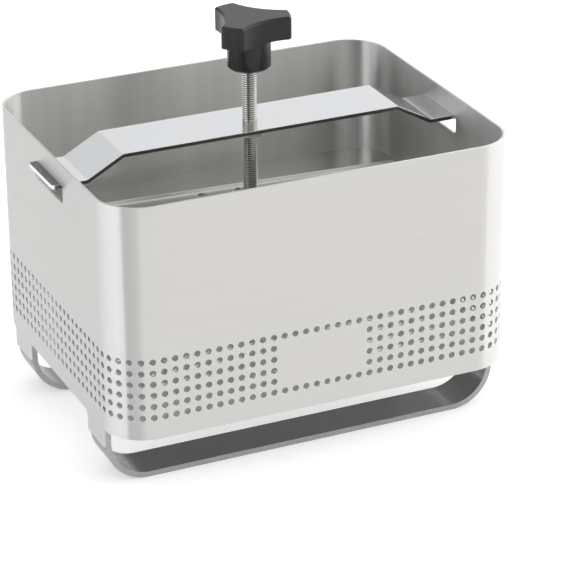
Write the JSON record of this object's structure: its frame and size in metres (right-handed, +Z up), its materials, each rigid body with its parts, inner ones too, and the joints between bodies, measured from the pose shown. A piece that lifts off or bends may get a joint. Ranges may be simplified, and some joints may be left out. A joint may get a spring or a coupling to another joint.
{
  "type": "tofu press",
  "caption": "Perforated open steel box on strap feet, with a slotted-in bridge whose hand screw lowers a swivelling press plate to squeeze whey out of curd.",
  "frame": {"origin": "on the surface that the press stands on, midway between the feet and under the screw's axis", "axes": "+X along the bridge to the right, +Y to the back, +Z up along the screw"},
  "size_m": [0.239, 0.182, 0.2218],
  "materials": {
    "box_steel": "fine satin brushed stainless sheet",
    "strap_steel": "rolled stainless strap, duller than the box",
    "bar_steel": "smooth satin stainless bar",
    "plate_steel": "satin brushed stainless sheet",
    "turned_steel": "bright turned and threaded steel",
    "brass": "turned brass",
    "black_plastic": "fine satin moulded plastic"
  },
  "bodies": {
    "box": {"wall": "box_steel", "base_sheet": "box_steel", "front_foot": "strap_steel", "rear_foot": "strap_steel"},
    "bridge": {"bridge_bar": "bar_steel", "bridge_nut": "turned_steel"},
    "washer": {"thrust_washer": "brass"},
    "plate": {"press_plate": "plate_steel", "swivel_cup": "turned_steel"},
    "screw": {"screw": "turned_steel", "knob_grip": "black_plastic", "knob_insert": "brass", "retaining_ring": "turned_steel"}
  },
  "joints": [
    {"name": "bridge_play", "type": "slide", "parent": "box", "child": "bridge", "axis": [0, 0, 1], "range_m": [-0.0078, 0]},
    {"name": "press_travel", "type": "slide", "parent": "bridge", "child": "washer", "axis": [0, 0, 1], "range_m": [-0.029, 0.0415]},
    {"name": "screw_turn", "type": "hinge", "parent": "washer", "child": "screw", "pos_m": [0, 0, 0.193], "axis": [0, 0, 1], "range_deg": [-8360, 11960]},
    {"name": "plate_swivel", "type": "hinge", "parent": "washer", "child": "plate", "pos_m": [0, 0, 0.103], "axis": [0, 0, 1], "range_deg": [-1.5, 9.5]}
  ],
  "couplings": [
    {"joint": "screw_turn", "follows": "press_travel", "rad_per_m": 5026.5}
  ]
}
